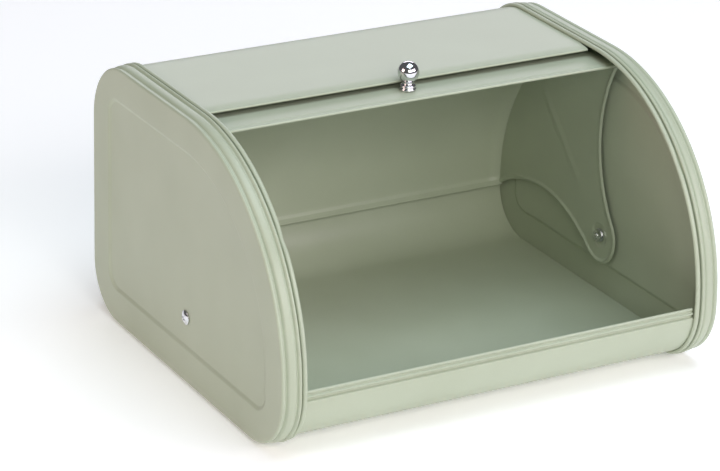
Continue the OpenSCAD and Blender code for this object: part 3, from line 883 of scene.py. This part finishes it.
knobLow, knobHigh = (np.array(corner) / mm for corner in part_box("knob"))
knob = {
    "y": (knobLow[1] + knobHigh[1]) / 2,
    "ball": 6.7,
    "top": knobHigh[2],
    # the foot's two rings and the neck: distance from the axis, and height over the lid
    "foot": [(4.35, 0.05), (5.0, 0.25), (5.2, 0.9), (5.0, 1.55), (4.55, 1.85), (4.65, 2.15), (4.95, 2.7),
             (4.8, 3.4), (4.2, 3.9), (3.5, 4.35), (3.25, 4.95), (3.35, 5.6)],
    "neckTop": 4.1,
    "sink": 0.1,  # the foot's underside goes this far into the lid
}


# Knob turned in one piece: a smooth line for the ringed foot and the waisted neck, and an
# arc for the ball, turned about the upright axis
def makeKnob():
    seatZ = pivot[1] + lid["radius"]
    ballZ = knob["top"] - knob["ball"] - seatZ
    low = math.asin(knob["neckTop"] / knob["ball"])
    foot = smoothLine(knob["foot"] + [(knob["neckTop"], ballZ - knob["ball"] * math.cos(low))], 5)[:-1]
    a = np.linspace(low, math.pi, 40)
    ball = np.stack([knob["ball"] * np.sin(a), ballZ - knob["ball"] * np.cos(a)], 1)
    under = [[r, -knob["sink"]] for r in (0, 2, 4.2)]
    profile = np.concatenate([under, foot, ball])
    grid = latheGrid(profile, 96, (0, knob["y"], seatZ))
    piece = makePiece("ballKnob", [(grid, False, True)], chrome)
    return seat(piece, "lid", "polished_chrome", "knob")


makeKnob()
print("knob made")

screw = {
    "head": 4.6,
    "height": 2,
    "rim": 0.6,
    "lastRing": 0.35,  # how far inside the rim the fine rings of the dome end
    "side": 0.45,  # height of the head's upright side
    "edge": 0.12,
    "gap": 0.02,  # between the head's underside and the plane of the sunk panel
    "shank": 1.95,
    "chamfer": 0.5,  # at the shank's end
    "recessLong": 4.6,
    "recessWide": (1.25, 0.75),  # of a bar of the cross, at the centre and at its ends
    "recessDeep": 1.1,
    "recessWall": (-0.28, 0.06),  # distances outside a bar between which its wall rises
    "recessRise": 0.25,  # share by which the recess is shallower away from the centre
    "riseTo": 2.4,
    "turn": 20,
}


# Head of a screw on a grid of circles: a low dome (a parabola), with a cross pressed in,
# whose depth eases off with the distance outside its two bars. The shank follows
def makeScrew(side, name, node):
    low, high = (np.array(corner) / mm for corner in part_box(node))
    seatX = capX - cap["panelDepth"] + screw["gap"]
    endX = low[0] if side > 0 else -high[0]
    head, edge, shank, chamfer = (screw[key] for key in ("head", "edge", "shank", "chamfer"))
    r = np.concatenate([np.linspace(0, head - screw["lastRing"], 46), [head - edge, head]])
    a = np.linspace(0, 2 * math.pi, 144, endpoint=False)
    u, v = r[:, None] * np.cos(a), r[:, None] * np.sin(a)
    dome = screw["rim"] + (screw["height"] - screw["rim"]) * (1 - (r / head) ** 2)
    turn = math.radians(screw["turn"])
    p, q = u * math.cos(turn) + v * math.sin(turn), -u * math.sin(turn) + v * math.cos(turn)

    # Distance outside a bar of the cross, which narrows towards its ends
    def outside(x, y):
        half = screw["recessLong"] / 2
        middle, end = screw["recessWide"]
        wide = middle + (end - middle) * np.clip(np.abs(x) / half, 0, 1)
        return np.maximum(np.abs(x) - half, np.abs(y) - wide / 2)

    away = np.minimum(outside(p, q), outside(q, p))
    wall = 1 - ease(away, *screw["recessWall"])
    rise = screw["recessRise"] * ease(np.hypot(u, v), 0, screw["riseTo"])
    sunk = screw["recessDeep"] * wall * (1 - rise)
    length = endX - seatX
    below = np.array([[head, screw["side"]], [head, edge], [head - edge, 0], [shank, 0],
                      [shank, length + chamfer], [shank - chamfer, length], [0, length]])
    u = np.concatenate([u, below[:, 0:1] * np.cos(a)])
    v = np.concatenate([v, below[:, 0:1] * np.sin(a)])
    height = np.concatenate([dome[:, None] - sunk, np.broadcast_to(below[:, 1:2], (len(below), len(a)))])
    grid = np.stack([side * (seatX + height), pivot[0] + u, pivot[1] + v], -1)
    piece = makePiece(name, [(grid, False, True)], chrome)
    return seat(piece, "box", "polished_chrome", node)


makeScrew(-1, "screwLeft", "pivot_screw_left")
makeScrew(1, "screwRight", "pivot_screw_right")
print("screws made")

# Small parts that keep the CAD shape: each only gets its finish
finishes = {
    "pivot_nut_left": chrome, "pivot_nut_right": chrome,
    "pivot_washer_left": zinc, "pivot_washer_right": zinc,
    "knob_screw": zinc, "knob_washer": zinc,
    "pivot_bush_left": nylon, "pivot_bush_right": nylon,
    "foot_front_left": rubber, "foot_front_right": rubber,
    "foot_back_left": rubber, "foot_back_right": rubber,
}
for node, material in finishes.items():
    frame["nodes"][node].data.materials.clear()
    frame["nodes"][node].data.materials.append(material)
print("small parts finished")

studio = {
    "paper": ("#fbfbfa", "#ffffff"),
    "toothSize": 3,  # drawn coarser than a real paper's tooth, which wouldn't show
    "half": 8,  # half the paper's width, in metres
    "target": (0, 0, 0.08),  # what the lamps face, in metres
    "world": 0.11,
    "glow": 0.2,  # light table under the paper, which keeps the surroundings white
    "camera": (-940.6, -1583.0, 844.3),  # in millimetres
    "azimuth": 29.904,
    "elevation": 22.837,
    "roll": 1.709,
    "lens": 159.55,
}
# place and size in metres, power in watts, and colour
lamps = {
    "topBox": ((0.2, -0.3, 2.0), (1.8, 1.3), 24.5, "#e3f4ff"),
    "rightBox": ((1.5, -1.9, 1.2), (1.3, 1.0), 18.5, "#fff0fb"),
    "middleBox": ((0.2, -2.3, 1.2), (1.3, 1.0), 13, "#f7f0ff"),
    "frontBox": ((-0.6, -2.3, 1.3), (1.4, 1.0), 23, "#fffcee"),
    "leftBox": ((-2.2, 0.2, 1.0), (1.2, 1.0), 13.5, "#ffe2d8"),
    "backBox": ((1.4, 2.4, 1.1), (1.8, 1.1), 15, "#fdf5ff"),
}


# Floor: a wide matt sheet of paper under the object, with a fine even tooth
def makeFloor():
    mesh = bpy.data.meshes.new("floor")
    half = studio["half"]
    mesh.from_pydata([(-half, -half, 0), (half, -half, 0), (half, half, 0), (-half, half, 0)], [],
                     [(0, 1, 2, 3)])
    floor = bpy.data.objects.new("floor", mesh)
    bpy.context.scene.collection.objects.link(floor)
    material, tree, shader, place = newMaterial("palePaper")
    tooth = addNode(tree, "ShaderNodeTexNoise",
                    {"Scale": grainScale(studio["toothSize"]), "Detail": 2.0}, {"Vector": place})
    tone = addNode(tree, "ShaderNodeValToRGB", None, {"Fac": tooth.outputs["Fac"]})
    tone.color_ramp.elements[0].color = linear(studio["paper"][0])
    tone.color_ramp.elements[1].color = linear(studio["paper"][1])
    tree.links.new(tone.outputs["Color"], shader.inputs["Base Color"])
    shader.inputs["Roughness"].default_value = 0.9
    shader.inputs["Emission Color"].default_value = (1, 1, 1, 1)
    shader.inputs["Emission Strength"].default_value = studio["glow"]
    mesh.materials.append(material)


# Soft box: a rectangular lamp at a place, turned so that its light goes to the target
def addLamp(name, place, size, power, colour):
    light = bpy.data.lights.new(name, "AREA")
    light.shape = "RECTANGLE"
    light.size, light.size_y = size
    light.energy = power
    light.color = linear(colour)[:3]
    lamp = bpy.data.objects.new(name, light)
    bpy.context.scene.collection.objects.link(lamp)
    away = np.array(place) - studio["target"]
    away /= np.linalg.norm(away)
    right = np.cross([0, 0, 1], away)
    right /= np.linalg.norm(right)
    up = np.cross(away, right)
    turn = Matrix(np.array([right, up, away]).T.tolist()).to_4x4()
    turn.translation = place
    lamp.matrix_world = turn


# Camera: it looks along the azimuth and the elevation, and is turned about that line by
# the roll
def makeCamera():
    az, el, roll = (math.radians(studio[key]) for key in ("azimuth", "elevation", "roll"))
    ahead = np.array([math.sin(az) * math.cos(el), math.cos(az) * math.cos(el), -math.sin(el)])
    level = np.array([math.cos(az), -math.sin(az), 0])
    over = np.cross(level, ahead)
    right = level * math.cos(roll) + over * math.sin(roll)
    up = np.cross(right, ahead)
    turn = Matrix(np.array([right, up, -ahead]).T.tolist()).to_4x4()
    turn.translation = [value * mm for value in studio["camera"]]
    data = bpy.data.cameras.new("camera")
    data.lens = studio["lens"]
    data.sensor_width = 36
    data.clip_start = 0.05
    camera = bpy.data.objects.new("camera", data)
    bpy.context.scene.collection.objects.link(camera)
    camera.matrix_world = turn
    bpy.context.scene.camera = camera


makeFloor()
for name, settings in lamps.items():
    addLamp(name, *settings)
world = bpy.data.worlds.new("studio")
world.use_nodes = True
world.node_tree.nodes["Background"].inputs["Color"].default_value = (1, 1, 1, 1)
world.node_tree.nodes["Background"].inputs["Strength"].default_value = studio["world"]
bpy.context.scene.world = world
bpy.context.scene.view_settings.view_transform = "Standard"
makeCamera()
print("studio ready")
